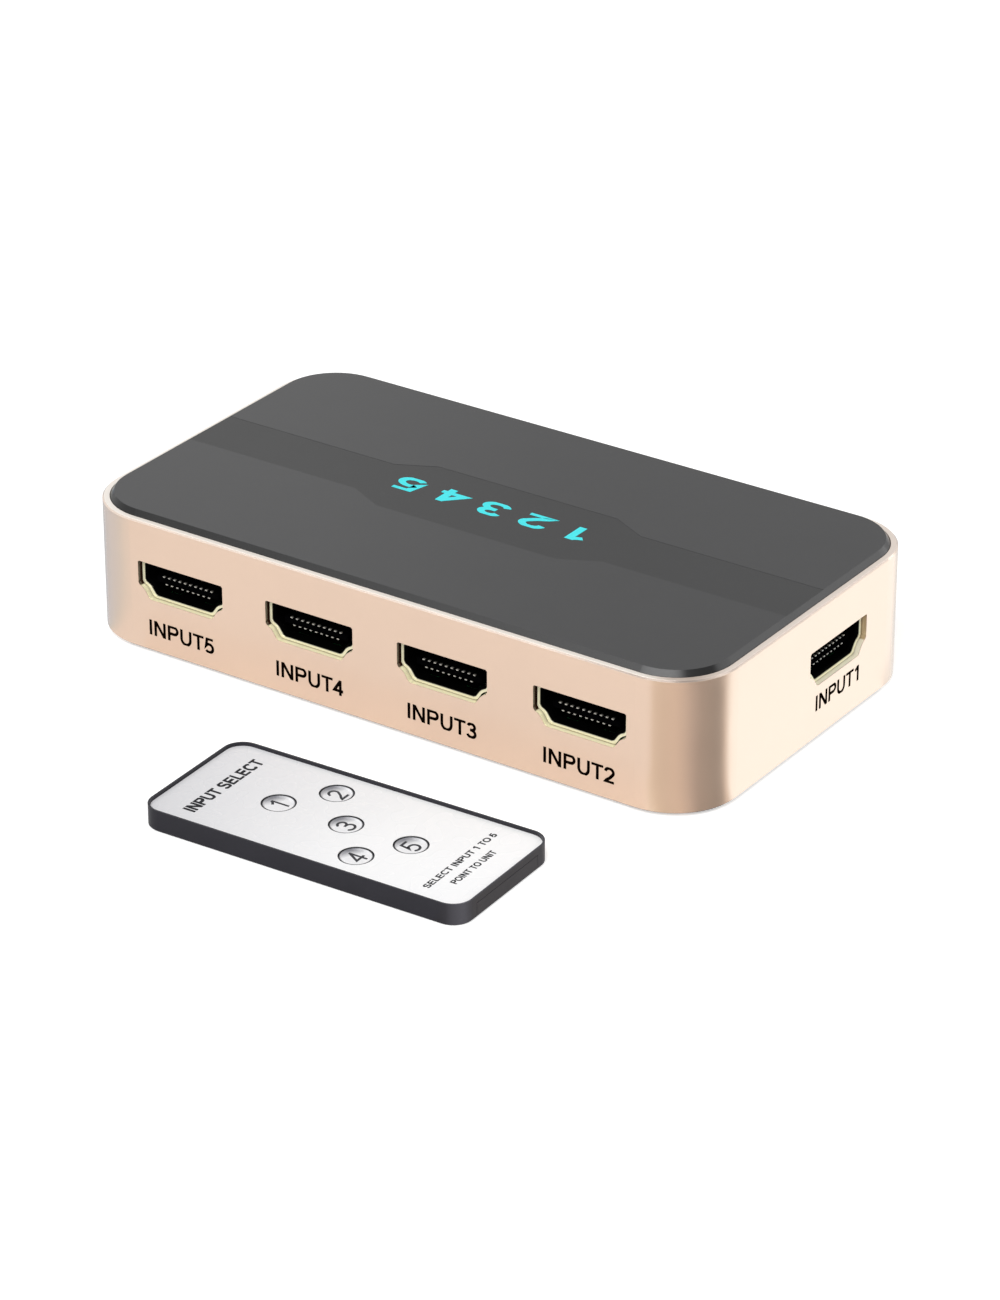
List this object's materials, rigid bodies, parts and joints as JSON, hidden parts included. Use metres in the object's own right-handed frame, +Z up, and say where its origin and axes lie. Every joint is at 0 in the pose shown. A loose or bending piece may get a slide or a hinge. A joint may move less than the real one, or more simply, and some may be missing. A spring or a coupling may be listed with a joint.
{
  "type": "hdmi switch",
  "caption": "Flat box with HDMI sockets round three walls and a select button, with a thin card remote with round keys lying in front.",
  "frame": {"origin": "on the table under the middle of the switch's case, 0.5 mm below the case floor", "axes": "+X along the case towards the first input's end, +Y towards the user's side with the button, +Z up"},
  "size_m": [0.112, 0.1071, 0.0228],
  "materials": {
    "gold_metal": "satin champagne-gold metal",
    "dark_cover": "satin dark grey moulding",
    "dark_floor": "fine-grained black moulding",
    "rubber": "soft black rubber",
    "screw_steel": "zinc-plated steel",
    "board": "green lacquered glass-fibre board",
    "socket_metal": "light gold-plated sheet",
    "socket_black": "black heat-proof moulding",
    "contact_gold": "gold-plated strip",
    "plated_metal": "tin-plated metal",
    "black_plastic": "black moulding",
    "button_plastic": "glossy black cap",
    "clear_plastic": "clear moulding",
    "lamp": "white lamp body",
    "dark_window": "dark infrared-clear plastic",
    "chip": "black moulded chip",
    "can_metal": "bare can",
    "remote_plastic": "satin charcoal moulding",
    "white_face": "white satin plate",
    "white_key": "white satin key",
    "cell_steel": "nickel-plated steel"
  },
  "bodies": {
    "switch": {"side_frame": "gold_metal", "top_cover": "dark_cover", "bottom_cover": "dark_floor", "rubber_feet": "rubber", "case_screws": "screw_steel", "main_board": "board", "dc_jack_body": "black_plastic", "dc_jack_pin": "plated_metal", "dc_jack_spring": "plated_metal", "tact_switch_base": "black_plastic", "light_pipe": "clear_plastic", "status_leds": "lamp", "ir_window": "dark_window", "ir_receiver": "dark_window", "switch_chip": "chip", "control_chip": "chip", "voltage_regulator": "chip", "crystal": "plated_metal", "capacitors": "can_metal", "surge_arrays": "chip", "input_1_shell": "socket_metal", "input_1_insulator": "socket_black", "input_1_contacts": "contact_gold", "input_2_shell": "socket_metal", "input_2_insulator": "socket_black", "input_2_contacts": "contact_gold", "input_3_shell": "socket_metal", "input_3_insulator": "socket_black", "input_3_contacts": "contact_gold", "input_4_shell": "socket_metal", "input_4_insulator": "socket_black", "input_4_contacts": "contact_gold", "input_5_shell": "socket_metal", "input_5_insulator": "socket_black", "input_5_contacts": "contact_gold", "output_shell": "socket_metal", "output_insulator": "socket_black", "output_contacts": "contact_gold"},
    "button": {"select_button": "button_plastic", "tact_switch_plunger": "black_plastic"},
    "remote": {"remote_case": "remote_plastic", "remote_face": "white_face", "key_domes": "plated_metal", "remote_board": "board", "remote_chip": "chip", "remote_emitter": "dark_window", "cell_contacts": "plated_metal"},
    "tray": {"battery_tray": "remote_plastic", "coin_cell": "cell_steel"},
    "key_1": {"remote_key_1": "white_key"},
    "key_2": {"remote_key_2": "white_key"},
    "key_3": {"remote_key_3": "white_key"},
    "key_4": {"remote_key_4": "white_key"},
    "key_5": {"remote_key_5": "white_key"}
  },
  "joints": [
    {"name": "select_press", "type": "slide", "parent": "switch", "child": "button", "axis": [0, -1, 0], "range_m": [0, 0.00035], "stiffness_N_per_m": 1500, "springref_m": -0.0006},
    {"name": "remote_lift", "type": "slide", "parent": "switch", "child": "remote", "axis": [0, 0, 1], "range_m": [0, 0.1]},
    {"name": "tray_slide", "type": "slide", "parent": "remote", "child": "tray", "axis": [0.9995, 0.0329, 0], "range_m": [0, 0.0135]},
    {"name": "key_1_press", "type": "slide", "parent": "remote", "child": "key_1", "axis": [0, 0, -1], "range_m": [0, 0.0002], "stiffness_N_per_m": 1000, "springref_m": -0.0004},
    {"name": "key_2_press", "type": "slide", "parent": "remote", "child": "key_2", "axis": [0, 0, -1], "range_m": [0, 0.0002], "stiffness_N_per_m": 1000, "springref_m": -0.0004},
    {"name": "key_3_press", "type": "slide", "parent": "remote", "child": "key_3", "axis": [0, 0, -1], "range_m": [0, 0.0002], "stiffness_N_per_m": 1000, "springref_m": -0.0004},
    {"name": "key_4_press", "type": "slide", "parent": "remote", "child": "key_4", "axis": [0, 0, -1], "range_m": [0, 0.0002], "stiffness_N_per_m": 1000, "springref_m": -0.0004},
    {"name": "key_5_press", "type": "slide", "parent": "remote", "child": "key_5", "axis": [0, 0, -1], "range_m": [0, 0.0002], "stiffness_N_per_m": 1000, "springref_m": -0.0004}
  ]
}
